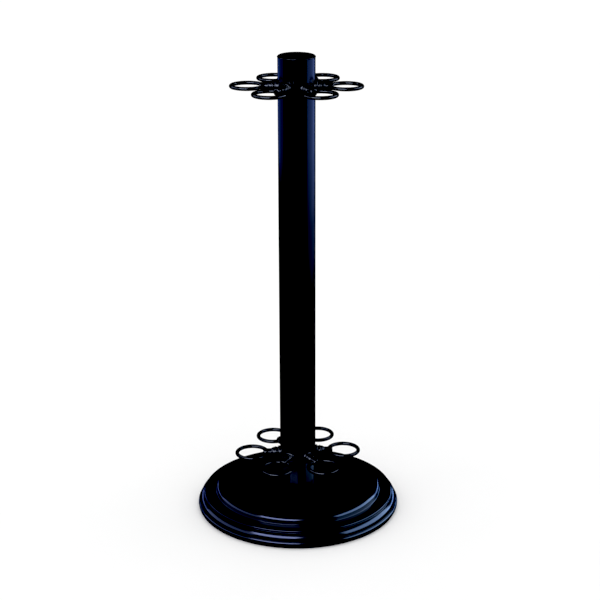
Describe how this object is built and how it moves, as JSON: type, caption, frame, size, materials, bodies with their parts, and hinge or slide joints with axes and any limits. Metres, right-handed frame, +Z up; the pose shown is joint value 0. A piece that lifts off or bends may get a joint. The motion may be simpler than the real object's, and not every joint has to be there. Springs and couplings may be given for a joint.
{
  "type": "cue rack",
  "caption": "Free-standing floor rack for billiard cues: weighted stepped round base, tube post with domed cap, and upper and lower crowns of wire rings on turned spindles.",
  "frame": {"origin": "on the floor under the post's axis, at the bottom centre of the base", "axes": "+Z up along the post; +X points to the viewer's right when the rack is seen from -Y"},
  "size_m": [0.3248, 0.3248, 0.738],
  "materials": {
    "gloss_black_coat": "gloss black powder coat",
    "gloss_black_wire": "gloss black powder coat on wire",
    "gloss_black_casting": "gloss black powder coat on turned metal",
    "satin_black_plate": "satin black paint",
    "cast_iron": "rough sand casting",
    "rubber": "matt moulded rubber",
    "zinc_steel": "bright zinc plate",
    "bare_steel": "machined steel"
  },
  "bodies": {
    "root": {"base_shell": "gloss_black_coat", "post_tube": "gloss_black_coat", "post_cap": "gloss_black_coat", "upper_ring_1": "gloss_black_wire", "upper_ring_2": "gloss_black_wire", "upper_ring_3": "gloss_black_wire", "upper_ring_4": "gloss_black_wire", "upper_ring_5": "gloss_black_wire", "upper_ring_6": "gloss_black_wire", "upper_spindle_1": "gloss_black_casting", "upper_spindle_2": "gloss_black_casting", "upper_spindle_3": "gloss_black_casting", "upper_spindle_4": "gloss_black_casting", "upper_spindle_5": "gloss_black_casting", "upper_spindle_6": "gloss_black_casting", "lower_ring_1": "gloss_black_wire", "lower_ring_2": "gloss_black_wire", "lower_ring_3": "gloss_black_wire", "lower_ring_4": "gloss_black_wire", "lower_ring_5": "gloss_black_wire", "lower_ring_6": "gloss_black_wire", "lower_spindle_1": "gloss_black_casting", "lower_spindle_2": "gloss_black_casting", "lower_spindle_3": "gloss_black_casting", "lower_spindle_4": "gloss_black_casting", "lower_spindle_5": "gloss_black_casting", "lower_spindle_6": "gloss_black_casting", "base_cover": "satin_black_plate", "base_ballast": "cast_iron", "rubber_feet": "rubber", "cover_screws": "zinc_steel", "tie_bolt": "zinc_steel", "tie_washer": "zinc_steel", "post_plug": "bare_steel", "ring_nuts": "zinc_steel", "ring_washers": "zinc_steel"}
  },
  "joints": []
}
